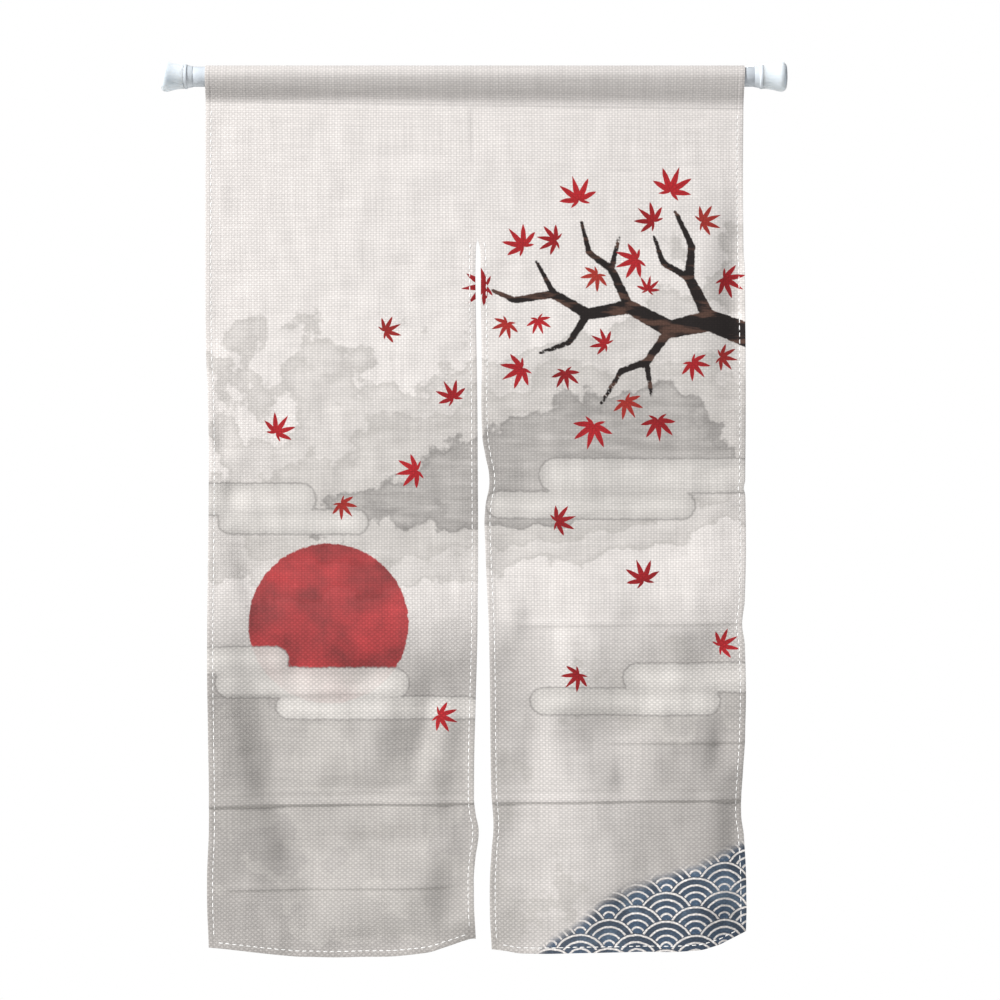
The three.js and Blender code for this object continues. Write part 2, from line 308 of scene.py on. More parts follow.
def crumple(across, down, size, seed):
    """Soft unevenness of about one unit: the sum of sine waves of random direction and phase, 0.7 to 1.5
    times size long, divided by 3.5."""
    draws = np.random.default_rng(seed)
    total = 0
    for turn, phase, stretch in zip(*draws.uniform(0, 1, (3, CRUMPLE_WAVES))):
        along = across * np.cos(np.pi * turn) + down * np.sin(np.pi * turn)
        total = total + np.sin(2 * np.pi * (along / (size * (0.7 + 0.8 * stretch)) + phase))
    return total / 3.5


def hang_depth(panel, across, down):
    """How far the cloth lies behind its flat plane. That is the sum of a sine wave that grows downwards,
    folds depth * sin^2(pi * along) * exp(-(aside / half width)^2), creases depth * exp(-(below / half
    width)^2), corners depth * (1 - away / reach)^2, and the crumples. Folds and creases have a steep side
    and a slack one."""
    length, start = panel["wave"]
    grown = np.clip((down - SLIT_TOP) / (CLOTH_LENGTH - SLIT_TOP), 0, 1)
    depth = WAVE_DEPTH * grown * np.sin(2 * np.pi * (across - start) / length)
    for x0, d0, x1, d1, on_left, on_right, fold in panel["folds"]:
        run = np.hypot(x1 - x0, d1 - d0)
        way_x, way_d = (x1 - x0) / run, (d1 - d0) / run
        along = np.clip(((across - x0) * way_x + (down - d0) * way_d) / run, 0, 1)
        aside = (down - d0) * way_x - (across - x0) * way_d
        aside = aside / np.where(aside > 0, on_right, on_left)
        depth = depth + fold * np.sin(np.pi * along) ** 2 * np.exp(-(aside**2))
    for level, x0, x1, above, under, crease in panel["creases"]:
        below = down - level - CREASE_RISE * ((x0 + x1) / 2 - across)
        below = below / np.where(below > 0, under, above)
        fade = ease(across, x0, x0 + CREASE_FADE) * ease(-across, -x1, CREASE_FADE - x1)
        depth = depth + crease * fade * np.exp(-(below**2))
    for x, d, reach, turn_back in panel["corners"]:
        away = np.hypot(across - x, down - d) / reach
        depth = depth + turn_back * np.maximum(0, 1 - away) ** 2
    loose = ease(down, *LOOSE)
    for size, held, extra, seed in CRUMPLES:
        depth = depth + (held + extra * loose) * crumple(across, down, size, seed)
    return depth


def pocket_section(seam_height):
    """Depth and height of the rod pocket, one row for each step and one column for each seam height: up
    behind the panel from the flap's end, then a leg to the rod, an arc over it and a leg down to the seam
    in front. A leg is a Bezier curve with the weights (1 - t)^3, 3 (1 - t)^2 t, 3 (1 - t) t^2 and t^3."""
    turn_y = POCKET_LOOP_RADIUS * np.cos(POCKET_WRAP)
    turn_z = -POCKET_LOOP_RADIUS * np.sin(POCKET_WRAP)
    drop = turn_z - seam_height
    t = np.linspace(0, 1, LEG_ROWS)[:, None]
    weights = (1 - t) ** 3, 3 * (1 - t) ** 2 * t, 3 * (1 - t) * t**2, t**3
    leg_y = (
        (weights[0] + weights[1]) * LAYER_OFFSET
        + weights[2] * (turn_y - POCKET_PULL_HIGH * drop * np.sin(POCKET_WRAP))
        + weights[3] * turn_y
    )
    leg_z = (
        weights[0] * seam_height
        + weights[1] * (seam_height + POCKET_PULL_LOW * drop)
        + weights[2] * (turn_z - POCKET_PULL_HIGH * drop * np.cos(POCKET_WRAP))
        + weights[3] * turn_z
    )
    flap_z = seam_height - FLAP_BELOW_SEAM * np.array(FLAP_ROWS)[:, None]
    flap_y = np.full_like(flap_z, LAYER_OFFSET)
    over = np.linspace(-POCKET_WRAP, np.pi + POCKET_WRAP, LOOP_ROWS)[1:-1, None] + 0 * seam_height
    depth = np.vstack([flap_y, leg_y, POCKET_LOOP_RADIUS * np.cos(over), -leg_y[::-1]])
    height = np.vstack([flap_z, leg_z, POCKET_LOOP_RADIUS * np.sin(over), leg_z[::-1]])
    return depth, height


def seam_depth(across):
    """How far down the pocket's seam lies: a straight line from its left depth to its right one."""
    return POCKET_DEPTH_LEFT + (POCKET_DEPTH_RIGHT - POCKET_DEPTH_LEFT) * across / CLOTH_WIDTH


def panel_surface(panel):
    """The cloth's middle surface in millimetres, as rows from the flap to the hem and columns from left to
    right. A column keeps its share of the way from the outer edge to the inner one, and rows lie closer on a
    crease, where their number grows by a bell curve. Then, for each point, its distance from the nearest free
    side, from the hem, and below the pocket's seam."""
    columns = round((PANEL_WIDTH - 2 * EDGE_OFFSETS[-1]) / GRID) + 1
    middle = np.linspace(EDGE_OFFSETS[-1], PANEL_WIDTH - EDGE_OFFSETS[-1], columns)
    inset = np.r_[EDGE_OFFSETS, middle[1:-1], PANEL_WIDTH - np.array(EDGE_OFFSETS[::-1])]
    outer_at_top, inner_at_top = edges(panel, np.array(0.0))
    share = inset / PANEL_WIDTH
    if outer_at_top > inner_at_top:
        share = 1 - share

    pocket_seam = seam_depth(outer_at_top + (inner_at_top - outer_at_top) * share)
    pocket_y, pocket_z = pocket_section(CLOTH_TOP - pocket_seam)
    outer, inner = edges(panel, CLOTH_TOP - pocket_z)
    pocket_x = outer + (inner - outer) * share

    last = CLOTH_LENGTH - np.array(EDGE_OFFSETS[::-1])
    place = np.arange(POCKET_DEPTH_RIGHT, last[0], ROW_STEP)
    density = 1 / GRID
    for crease in panel["creases"]:
        density = density + CREASE_ROWS * np.exp(-(((place - crease[0]) / CREASE_ROWS_REACH) ** 2))
    row = np.cumsum(density) * ROW_STEP
    whole_rows = np.arange(1, row[-1] - 0.5)  # none within half a row of the hem's own rows
    level = np.r_[np.interp(whole_rows, row, place), last][:, None]
    outer, inner = edges(panel, level)
    across = outer + (inner - outer) * share
    tilt = (POCKET_DEPTH_RIGHT - seam_depth(across)) * (1 - ease(level, POCKET_DEPTH_RIGHT, SLIT_TOP))
    rise = CLOTH_LENGTH - smooth_curve(panel["hem"], across)
    height = CLOTH_TOP - level + tilt + rise * ease(level, CLOTH_LENGTH - HEM_RISE_REACH, CLOTH_LENGTH)
    depth = hang_depth(panel, across, level) - LAYER_OFFSET

    points = np.stack(
        [np.vstack([pocket_x, across]), np.vstack([pocket_y, depth]), np.vstack([pocket_z, height])], axis=-1
    )
    down = CLOTH_TOP - points[..., 2]
    to_hem = np.vstack([np.full_like(pocket_z, FAR), CLOTH_LENGTH - level + 0 * across])
    sewn = FAR * ease(-down, -SLIT_TOP - SLIT_HEMS_FULL_BELOW, -SLIT_TOP + SLIT_HEMS_FLAT_ABOVE)
    to_side = np.minimum(share * PANEL_WIDTH, (1 - share) * PANEL_WIDTH + sewn)
    below_seam = down - seam_depth(points[..., 0])
    below_seam[: len(pocket_z) // 2] = -FLAP_BELOW_SEAM  # the rows behind the rod
    return points, to_side, to_hem, below_seam


def unit_normals(points):
    """Cross product of the differences down the rows and along them, so it points out of the printed side."""
    normal = np.cross(np.gradient(points, axis=0), np.gradient(points, axis=1))
    return normal / np.linalg.norm(normal, axis=-1, keepdims=True)


# Print
# A plain traditional design in a few inks, soaked into the cloth: grey wash and bands of mist, a red sun,
# blue wave scales and a branch of red maple. Each motif is worked out here as distances in millimetres,
# which the mesh keeps and the cloth's material inks.

SUN = (196, 905, 128)  # across, down, radius
BRANCHES = [  # across, down, half width, to across, to down, half width
    (900, 456, 21, 806, 420, 17),
    (806, 420, 17, 742, 434, 14),
    (742, 434, 14, 676, 398, 11),
    (676, 398, 11, 610, 410, 9),
    (610, 410, 9, 556, 378, 7),
    (556, 378, 7, 492, 388, 5),
    (492, 388, 5, 458, 372, 2.6),
    (806, 420, 11, 772, 352, 8),
    (772, 352, 8, 776, 300, 5.5),
    (776, 300, 5.5, 750, 246, 3),
    (772, 352, 6, 730, 328, 4.5),
    (730, 328, 4.5, 716, 286, 2.6),
    (676, 398, 8, 648, 338, 6),
    (648, 338, 6, 612, 312, 4.5),
    (612, 312, 4.5, 600, 262, 2.6),
    (648, 338, 5, 660, 286, 2.6),
    (742, 434, 8, 704, 486, 6),
    (704, 486, 6, 664, 500, 4.5),
    (664, 500, 4.5, 632, 552, 2.6),
    (704, 486, 5, 712, 540, 2.6),
    (610, 410, 7, 580, 456, 4.5),
    (580, 456, 4.5, 534, 472, 2.6),
    (556, 378, 5, 528, 326, 2.6),
]
LEAVES = [  # across, down, length, turn in degrees from upwards, and shade
    (742, 214, 44, 20, 0.35),
    (792, 262, 34, 70, 0.8),
    (716, 262, 36, -50, 0.55),
    (690, 322, 40, -110, 0.2),
    (762, 322, 30, 30, 0.65),
    (828, 352, 38, 120, 0.4),
    (596, 228, 42, -15, 0.25),
    (656, 256, 34, 40, 0.7),
    (560, 292, 34, -80, 0.5),
    (626, 346, 32, -140, 0.85),
    (508, 302, 40, -40, 0.3),
    (448, 366, 42, -95, 0.45),
    (482, 424, 30, -150, 0.75),
    (530, 418, 28, 160, 0.15),
    (506, 496, 40, -120, 0.35),
    (574, 502, 32, 170, 0.6),
    (620, 586, 44, -165, 0.3),
    (670, 548, 34, 150, 0.8),
    (722, 578, 38, 175, 0.5),
    (776, 486, 34, 140, 0.2),
    (640, 458, 30, -60, 0.55),
    (822, 478, 30, 100, 0.7),
    (706, 372, 26, 10, 0.4),
    (396, 545, 34, -30, 0.5),
    (286, 438, 30, 65, 0.7),
    (338, 660, 38, -100, 0.3),
    (112, 600, 36, 35, 0.45),
    (216, 712, 30, 140, 0.75),
    (560, 742, 34, 75, 0.4),
    (700, 836, 38, -20, 0.6),
    (372, 1052, 34, 110, 0.35),
    (596, 986, 32, -135, 0.55),
    (822, 942, 34, 60, 0.25),
]
MIST = [  # from across, to across, down, half height
    (-60, 150, 706, 26),
    (40, 240, 742, 20),
    (-60, 110, 964, 22),
    (40, 300, 1000, 25),
    (130, 420, 1040, 19),
    (560, 940, 668, 28),
    (470, 760, 716, 22),
    (690, 940, 992, 24),
    (540, 800, 1030, 22),
]
INK_CLOUDS = [  # across, down, half width, half height, strength
    (700, 600, 270, 150, 1.0),
    (430, 690, 240, 120, 0.75),
    (120, 500, 220, 150, 0.35),
    (140, 760, 210, 110, 0.6),
    (210, 1130, 330, 130, 0.62),
    (330, 1360, 300, 90, 0.5),
    (800, 1010, 190, 90, 0.5),
    (850, 330, 150, 120, 0.35),
]
WATERLINE = [(-40, 1500), (440, 1500), (530, 1440), (620, 1368), (700, 1322), (790, 1290), (900, 1236)]
LOWER_GREY = (820, 1010)  # down: where the grey below the middle starts, and where it is full
LOWER_GREY_LIFT = 0.6  # share of the grey that a paler strip lacks
LOWER_GREY_LIFT_PLACE = 570
LOWER_GREY_LIFT_REACH = 110
LEAF_LAYERS = 2
LEAF_CLEAR = 6  # between two leaves of one layer


def brushed(across, down, strokes):
    """Distance to the nearest straight stroke's centre line, less the half width there, which runs evenly
    from one end to the other. It is negative inside a stroke."""
    nearest = np.full_like(across, FAR)
    for x0, d0, w0, x1, d1, w1 in strokes:
        run_x, run_d = x1 - x0, d1 - d0
        t = np.clip(((across - x0) * run_x + (down - d0) * run_d) / (run_x**2 + run_d**2), 0, 1)
        reach = np.hypot(across - x0 - run_x * t, down - d0 - run_d * t)
        nearest = np.minimum(nearest, reach - (w0 + (w1 - w0) * t))
    return nearest


def sorted_leaves():
    """The leaves as layers in which no two touch, so that each place has one nearest leaf. Two leaves touch
    where their hearts are closer than the sum of their lengths."""
    layers = [[] for _ in range(LEAF_LAYERS)]
    for leaf in LEAVES:
        for layer in layers:
            gaps = [np.hypot(leaf[0] - o[0], leaf[1] - o[1]) - leaf[2] - o[2] for o in layer]
            if min(gaps, default=LEAF_CLEAR) >= LEAF_CLEAR:
                layer.append(leaf)
                break
    return layers


def leaf_places(across, down, leaves):
    """Each point's place on the nearest leaf: the offset from its heart, turned back by the leaf's turn and
    divided by its length, as sideways, tipward and distance. Also that leaf's shade."""
    x, d, length, turn, shade = (np.array(column, float) for column in zip(*leaves))
    off_x = across[..., None] - x
    off_up = d - down[..., None]
    away = np.hypot(off_x, off_up) / length
    nearest = away.argmin(axis=-1)[..., None]
    turn = np.radians(turn)
    sideways = (off_x * np.cos(turn) - off_up * np.sin(turn)) / length
    tipward = (off_x * np.sin(turn) + off_up * np.cos(turn)) / length
    picked = [np.take_along_axis(field, nearest, axis=-1)[..., 0] for field in (sideways, tipward, away)]
    return np.stack(picked, axis=-1), shade[nearest[..., 0]]


def print_fields(across, down):
    """What the print keeps on the mesh, one number or three for each point. Clouds add up as
    strength * exp(-(x / half width)^2 - (y / half height)^2), the lower grey is an ease down the cloth less
    the paler strip's bell curve, and the rest are distances."""
    mist = brushed(across, down, [(x0, d, r, x1, d, r) for x0, x1, d, r in MIST])
    clouds = 0
    for x, d, half_width, half_height, strength in INK_CLOUDS:
        off = ((across - x) / half_width) ** 2 + ((down - d) / half_height) ** 2
        clouds = clouds + strength * np.exp(-off)
    lifted = LOWER_GREY_LIFT * np.exp(-(((across - LOWER_GREY_LIFT_PLACE) / LOWER_GREY_LIFT_REACH) ** 2))
    fields = {
        "lower_grey": ease(down, *LOWER_GREY) * (1 - lifted),
        "mist": mist,
        "clouds": clouds,
        "branch": brushed(across, down, BRANCHES),
        "water": down - smooth_curve(WATERLINE, across),
        "sun": np.hypot(across - SUN[0], down - SUN[1]) - SUN[2],
    }
    for number, leaves in enumerate(sorted_leaves()):
        places, shades = leaf_places(across, down, leaves)
        fields[f"leaf_place_{number}"] = places
        fields[f"leaf_shade_{number}"] = shades
    return fields


# Printed linen
# Plain-woven linen-look cloth of slubby yarn, with turned hems: to the eye a fine grid, dull, with a slight
# sheen at grazing angles. Painted shade darkens the gaps of the grid, the cloth over the rod and on the hems,
# where no light comes through from behind, and a line along the pocket's seam. The inks are pigment, soaked
# in unevenly like water colour, and show faintly on the back.

CLOTH_THICKNESS = 0.9
HEM_EXTRA = 0.8  # the hem's second layer, behind the first
HEM_BULGE = 0.12  # how far it pushes the face out
HEM_WIDTH = 12
HEM_END = 0.8  # half the width over which it thins out
# Painted shade on the hems, whose extra layer lets less light through from behind: this share of the shade
# over the rod pocket.
HEM_SHADE = 0.12
RIM_ROUNDING = 2.2  # from the edge, where the cloth thins to a soft rim
RIM_THINNEST = 0.12
SHARP_ANGLE = np.radians(40)
POCKET_SHADE_SOFT = (4, 22)  # how far the pocket's painted shade fades up from the seam, at the left and at the right
POCKET_SHADE_PLACES = (40, 330)  # across: between these it changes from the one to the other
POCKET_SHADE_END = 2  # below the seam
YARN_ACROSS = 4.43  # between warp yarns, drawn about five times as coarse as real cloth so that it shows
YARN_DOWN = 3.63
WARP_RELIEF = 0.82
CHEQUER_HIGH = 0.5  # how far crossings stand out against the lines between yarns, in the light upper part
CHEQUER_LOW = 1.1  # and in the greyer lower part
WANDER_SIZE = 110  # over which the yarns' lines wander
WANDER = 0.004  # how far they wander, in metres
SLUB_WIDTH = 3.3
SLUB_LENGTH = 90
BLOTCH_SIZE = 77  # of the wash's clouds
GRAIN_SIZE = 8.3  # of the ink where it soaks in
STREAK_LENGTH = 71  # of a half dry brush
STREAK_WIDTH = 14.3
ROUGH_EDGE = 7  # how far the grain moves the edges of the sun and the mist
DRY_EDGE = 5  # and those of the branch
WAVY_EDGE = 46  # how far the blotches move the water's edge
WASH = [(0.3, "pale_grey", 0.55), (0.55, "pale_grey", 0.6), (0.82, "mid_grey", 0.62)]  # level, tone, cover
INK = {
    "cloth": "#F1EBE7",
    "cloth_back": "#EAE5DF",
    "pale_grey": "#C8C3BE",
    "mid_grey": "#8F8B88",
    "lower_grey": "#B8B3AF",
    "mist": "#E4DFDA",
    "red": "#C2262D",
    "deep_red": "#7E1419",
    "orange_red": "#D8503F",
    "branch": "#231C1B",
    "branch_brown": "#5B4238",
    "blue": "#2D4D6B",
    "deep_blue": "#1D3348",
    "pale_blue": "#6F8AA3",
}
LEAF_OUTLINE = [  # degrees from the tip, and the leaf's reach there as a share of its length
    (0, 1.0), (4, 0.8), (9, 0.62), (14, 0.5), (19, 0.4), (24, 0.5), (29, 0.64), (34, 0.82), (38, 0.96),
    (42, 0.82), (47, 0.62), (52, 0.48), (57, 0.36), (62, 0.44), (68, 0.58), (74, 0.72), (78, 0.8), (82, 0.68),
    (88, 0.5), (95, 0.36), (101, 0.27), (108, 0.34), (114, 0.42), (119, 0.48), (125, 0.38), (134, 0.24),
    (146, 0.13), (160, 0.1), (174, 0.1), (180, 0.1),
]
LOBE_HALF_ANGLE = np.radians(19)
SCALE_RADIUS = 46
RING_PITCH = 0.12  # of the lines in a wave scale, as a share of its radius
LOWER_GREY_CLOUD = 0.5
NO_BACKLIGHT_SHADE_TONE = 0.8  # painted shade: two layers over the rod let no light through from behind
# Painted shade along the pocket's seam, where the stitches pull the cloth in.
SEAM_SHADE_TONE = 0.82
SEAM_SHADE_WIDTHS = (0.6, 2.2)  # half widths of the painted shade line along the pocket's seam and of its soft edge
YARN_TONE = 0.7  # painted shade in the gaps between yarns
WEAVE_BUMP = 0.0005  # metres
PRINT_THROUGH = 0.3  # of the print's strength, on the back
MIX_A, MIX_B = 6, 7  # the colours that a Mix node takes
COLOUR_MIX = {"output": 2, "data_type": "RGBA"}
SOFT = {"interpolation_type": "SMOOTHSTEP"}


def weave(tree, uv):
    """The yarns' relief, from 0 in the gaps to 1 on top. It is s^2 WARP_RELIEF^2 + t^2 + s t chequer, where
    s is sin(pi x / pitch) across and t the same down, on lines that wander a little. Then the slubs, two
    noises, each drawn out along its yarns."""
    wander = add(tree, "TexNoise", {"Vector": uv, "Scale": 1000 / WANDER_SIZE, "Detail": 2.0}, output=1)
    shifted = add(tree, "VectorMath", {0: wander, 1: (WANDER, WANDER, 0), 2: uv}, operation="MULTIPLY_ADD")
    pitches = (np.pi * 1000 / YARN_ACROSS, np.pi * 1000 / YARN_DOWN, 0)
    turns = add(tree, "VectorMath", {0: shifted, 1: pitches}, operation="MULTIPLY")
    waves = add(tree, "VectorMath", {0: turns}, operation="SINE")
    split = add(tree, "SeparateXYZ", {0: waves}, output=0)
    both = add(tree, "Math", {0: split, 1: split.node.outputs[1]}, operation="MULTIPLY")
    flat_waves = add(tree, "VectorMath", {0: waves, 1: (WARP_RELIEF, 1, 0)}, operation="MULTIPLY")
    squares = add(tree, "VectorMath", {0: flat_waves, 1: flat_waves}, output=1, operation="DOT_PRODUCT")
    lower_grey = add(tree, "Attribute", output=2, attribute_name="lower_grey")
    chequer = add(tree, "MapRange", {0: lower_grey, 1: 0.0, 2: 0.6, 3: CHEQUER_HIGH, 4: CHEQUER_LOW})
    relief = add(tree, "Math", {0: both, 1: chequer, 2: squares}, operation="MULTIPLY_ADD")
    yarns = add(tree, "MapRange", {0: relief, 1: 0.1, 2: 1.9})
    drawn = []
    for width, height in ((SLUB_WIDTH, SLUB_LENGTH), (SLUB_LENGTH, SLUB_WIDTH)):
        stretched = add(tree, "Mapping", {0: uv, 3: (1000 / width, 1000 / height, 1)})
        drawn.append(add(tree, "TexNoise", {"Vector": stretched, "Scale": 1.0, "Detail": 2.0}))
    slubs = add(tree, "Math", {0: drawn[0], 1: drawn[1]}, operation="ADD")
    return yarns, slubs


def inked_print(tree, uv):
    """The printed colour, from the ground up: wash, sun, waves, mist, branch and leaves. A motif covers
    what is below it where its distance, moved a little by the ink's grain, is less than zero."""
    cloudy = {"Vector": uv, "Scale": 1000 / BLOTCH_SIZE, "Detail": 5.0, "Roughness": 0.55}
    blotches = add(tree, "TexNoise", cloudy)
    grainy = {"Vector": uv, "Scale": 1000 / GRAIN_SIZE, "Detail": 3.0, "Roughness": 0.6}
    grain = add(tree, "TexNoise", grainy)
    stretched = add(tree, "Mapping", {0: uv, 3: (1000 / STREAK_LENGTH, 1000 / STREAK_WIDTH, 1)})
    brush = add(tree, "TexNoise", {"Vector": stretched, "Scale": 1.0, "Detail": 6.0})
    field = {
        name: add(tree, "Attribute", output=2, attribute_name=name)
        for name in ("lower_grey", "mist", "clouds", "branch", "water", "sun")
    }
    rough = add(tree, "Math", {0: grain, 1: ROUGH_EDGE, 2: -ROUGH_EDGE / 2}, operation="MULTIPLY_ADD")
    wavy = add(tree, "Math", {0: blotches, 1: WAVY_EDGE, 2: -WAVY_EDGE / 2}, operation="MULTIPLY_ADD")

    # Lower grey: an even warm grey that deepens below the middle, a little cloudy.
    low = add(tree, "Math", {0: blotches, 1: LOWER_GREY_CLOUD, 2: field["lower_grey"]}, operation="MULTIPLY_ADD")
    low = add(tree, "MapRange", {0: low, 1: LOWER_GREY_CLOUD / 2, 2: 1 + LOWER_GREY_CLOUD / 2})
    two_greys = {0: low, MIX_A: linear(INK["cloth"]), MIX_B: linear(INK["lower_grey"])}
    colour = add(tree, "Mix", two_greys, **COLOUR_MIX)

    # Wash: three thin coats of grey, each ending in the darker line where its water dried.
    swollen = add(tree, "Math", {0: blotches, 1: 0.9, 2: -0.45}, operation="MULTIPLY_ADD")
    pooled = add(tree, "Math", {0: field["clouds"], 1: swollen}, operation="ADD")
    for level, tone, cover in WASH:
        inside = add(tree, "MapRange", {0: pooled, 1: level - 0.012, 2: level + 0.03}, **SOFT)
        rim = add(tree, "MapRange", {0: pooled, 1: level + 0.09, 2: level, 3: 0.0, 4: 0.35})
        streaked = add(tree, "MapRange", {0: brush, 1: 0.25, 2: 0.75, 3: cover * 0.45, 4: cover})
        strength = add(tree, "Math", {0: streaked, 1: rim}, operation="ADD")
        coat = add(tree, "Math", {0: inside, 1: strength}, operation="MULTIPLY")
        colour = add(tree, "Mix", {0: coat, MIX_A: colour, MIX_B: linear(INK[tone])}, **COLOUR_MIX)

    # Sun: red, mottled with a deeper one.
    sun_edge = add(tree, "Math", {0: field["sun"], 1: rough}, operation="ADD")
    mottled = add(tree, "MapRange", {0: blotches, 1: 0.35, 2: 0.68})
    two_reds = {0: mottled, MIX_A: linear(INK["red"]), MIX_B: linear(INK["deep_red"])}
    sun_red = add(tree, "Mix", two_reds, **COLOUR_MIX)
    cover = add(tree, "MapRange", {0: sun_edge, 1: -1.25, 2: 1.25, 3: 1.0, 4: 0.0}, **SOFT)
    cover = add(tree, "Math", {0: cover, 1: 0.93}, operation="MULTIPLY")
    colour = add(tree, "Mix", {0: cover, MIX_A: colour, MIX_B: sun_red}, **COLOUR_MIX)

    # Waves: overlapping round scales with concentric lines. Their rows are half a radius apart, each shifted
    # by a radius against the last. Of the scales that hold a point, the one in the lowest row is in front.
    place = add(tree, "SeparateXYZ", {0: uv}, output=0)
    x = add(tree, "Math", {0: place, 1: 1000.0}, operation="MULTIPLY")
    y = add(tree, "Math", {0: place.node.outputs[1], 1: 1000.0}, operation="MULTIPLY")
    in_rows = add(tree, "Math", {0: y, 1: SCALE_RADIUS / 2}, operation="DIVIDE")
    last_row = add(tree, "Math", {0: in_rows}, operation="FLOOR")
    ring = 1.0
    for rows_ahead in (1, 2):
        row = add(tree, "Math", {0: last_row, 1: float(rows_ahead)}, operation="ADD")
        off_y = add(tree, "Math", {0: row, 1: in_rows}, operation="SUBTRACT")
        off_y = add(tree, "Math", {0: off_y, 1: 0.5}, operation="MULTIPLY")
        off_x = add(tree, "Math", {0: row, 1: -SCALE_RADIUS, 2: x}, operation="MULTIPLY_ADD")
        off_x = add(tree, "Math", {0: off_x, 1: SCALE_RADIUS, 2: -SCALE_RADIUS}, operation="WRAP")
        off_x = add(tree, "Math", {0: off_x, 1: SCALE_RADIUS}, operation="DIVIDE")
        offset = add(tree, "CombineXYZ", {0: off_x, 1: off_y})
        away = add(tree, "VectorMath", {0: offset}, output=1, operation="LENGTH")
        within = add(tree, "Math", {0: away, 1: 1.0}, operation="LESS_THAN")
        ring = add(tree, "Mix", {0: within, 2: ring, 3: away})
    wobbly_ring = add(tree, "Math", {0: grain, 1: 0.05, 2: ring}, operation="MULTIPLY_ADD")
    to_line = add(tree, "Math", {0: wobbly_ring, 1: RING_PITCH}, operation="PINGPONG")
    line = add(tree, "MapRange", {0: to_line, 1: 0.022, 2: 0.042, 3: 1.0, 4: 0.0})
    deep = add(tree, "MapRange", {0: ring, 1: 0.1, 2: 0.95})
    two_blues = {0: deep, MIX_A: linear(INK["blue"]), MIX_B: linear(INK["deep_blue"])}
    blue = add(tree, "Mix", two_blues, **COLOUR_MIX)
    pale = add(tree, "MapRange", {0: blotches, 1: 0.5, 2: 0.8})
    blue = add(tree, "Mix", {0: pale, MIX_A: blue, MIX_B: linear(INK["pale_blue"])}, **COLOUR_MIX)
    blue = add(tree, "Mix", {0: line, MIX_A: blue, MIX_B: linear(INK["cloth"])}, **COLOUR_MIX)
    wave_edge = add(tree, "Math", {0: field["water"], 1: -1.0, 2: wavy}, operation="MULTIPLY_ADD")
    cover = add(tree, "MapRange", {0: wave_edge, 1: -13.0, 2: 13.0, 3: 1.0, 4: 0.0}, **SOFT)
    cover = add(tree, "Math", {0: cover, 1: 0.92}, operation="MULTIPLY")
    colour = add(tree, "Mix", {0: cover, MIX_A: colour, MIX_B: blue}, **COLOUR_MIX)

    # Mist: long pale bands over what lies behind, greyer towards their dried rims.
    mist_edge = add(tree, "Math", {0: field["mist"], 1: rough}, operation="ADD")
    to_rim = add(tree, "Math", {0: mist_edge}, operation="ABSOLUTE")
    rim = add(tree, "MapRange", {0: to_rim, 1: 0.4, 2: 2.6, 3: 0.55, 4: 0.0})
    shade = add(tree, "MapRange", {0: mist_edge, 1: -20.0, 2: 0.0, 3: 0.0, 4: 0.3})
    two_greys = {0: shade, MIX_A: linear(INK["mist"]), MIX_B: linear(INK["mid_grey"])}
    band = add(tree, "Mix", two_greys, **COLOUR_MIX)
    cover = add(tree, "MapRange", {0: mist_edge, 1: -1.0, 2: 1.0, 3: 1.0, 4: 0.0}, **SOFT)
    cover = add(tree, "Math", {0: cover, 1: 0.9}, operation="MULTIPLY")
    colour = add(tree, "Mix", {0: cover, MIX_A: colour, MIX_B: band}, **COLOUR_MIX)
    colour = add(tree, "Mix", {0: rim, MIX_A: colour, MIX_B: linear(INK["mid_grey"])}, **COLOUR_MIX)

    # Branch: near-black ink from a half dry brush, with brown where it ran thin.
    dry = add(tree, "Math", {0: grain, 1: DRY_EDGE, 2: -DRY_EDGE / 2}, operation="MULTIPLY_ADD")
    branch_edge = add(tree, "Math", {0: field["branch"], 1: dry}, operation="ADD")
    thin = add(tree, "MapRange", {0: brush, 1: 0.52, 2: 0.6})
    two_inks = {0: thin, MIX_A: linear(INK["branch"]), MIX_B: linear(INK["branch_brown"])}
    branch_ink = add(tree, "Mix", two_inks, **COLOUR_MIX)
    cover = add(tree, "MapRange", {0: branch_edge, 1: -1.0, 2: 1.0, 3: 1.0, 4: 0.0}, **SOFT)
    colour = add(tree, "Mix", {0: cover, MIX_A: colour, MIX_B: branch_ink}, **COLOUR_MIX)

    # Leaves: seven pointed lobes, reds that run into each other, and darker ribs from the heart to each tip.
    for number in range(LEAF_LAYERS):
        place = add(tree, "Attribute", output=1, attribute_name=f"leaf_place_{number}")
        shade = add(tree, "Attribute", output=2, attribute_name=f"leaf_shade_{number}")
        sideways = add(tree, "SeparateXYZ", {0: place})
        tipward, away = sideways.node.outputs[1:]
        turn = add(tree, "Math", {0: sideways, 1: tipward}, operation="ARCTAN2")
        turn = add(tree, "Math", {0: turn}, operation="ABSOLUTE")
        half_turns = add(tree, "Math", {0: turn, 1: np.pi}, operation="DIVIDE")
        outline = add(tree, "FloatCurve", {0: 1.0, 1: half_turns})
        curve = outline.node.mapping.curves[0]
        for degrees, reach in LEAF_OUTLINE[1:-1]:
            curve.points.new(degrees / 180, reach)
        for point, (degrees, reach) in zip(curve.points, LEAF_OUTLINE):
            point.location = (degrees / 180, reach)
            point.handle_type = "VECTOR"
        outline.node.mapping.update()
        edge = add(tree, "Math", {0: away, 1: outline}, operation="SUBTRACT")
        edge = add(tree, "Math", {0: grain, 1: 0.09, 2: edge}, operation="MULTIPLY_ADD")
        darker = add(tree, "Math", {0: blotches, 1: 1.5, 2: shade}, operation="MULTIPLY_ADD")
        darker = add(tree, "MapRange", {0: darker, 1: 0.75, 2: 1.75})
        two_reds = {0: darker, MIX_A: linear(INK["red"]), MIX_B: linear(INK["deep_red"])}
